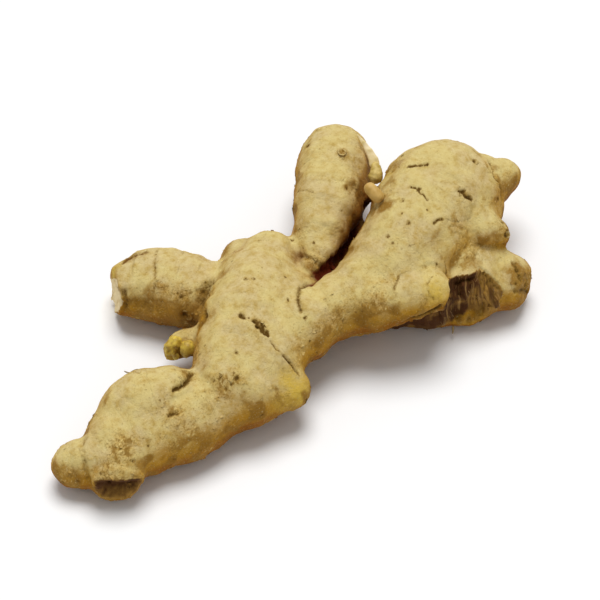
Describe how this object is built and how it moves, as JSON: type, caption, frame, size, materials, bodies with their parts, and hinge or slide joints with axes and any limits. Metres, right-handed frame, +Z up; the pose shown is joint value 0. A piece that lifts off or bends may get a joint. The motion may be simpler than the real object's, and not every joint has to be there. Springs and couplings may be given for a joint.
{
  "type": "ginger root",
  "caption": "Fresh ginger root lying flat: a knobbly branching rhizome with swollen lobes, blunt fingers, small buds and broken scarred ends.",
  "frame": {"origin": "under the middle of the box of the whole root, on the surface that it rests on", "axes": "+X along the root's length, from the scarred left lobe to the thick right lobe; +Z up from the flats that it rests on"},
  "size_m": [0.193, 0.0912, 0.0435],
  "materials": {
    "ginger_skin": "matte, dry, thin corky skin"
  },
  "bodies": {
    "root": {"ginger_rhizome": "ginger_skin"}
  },
  "joints": []
}
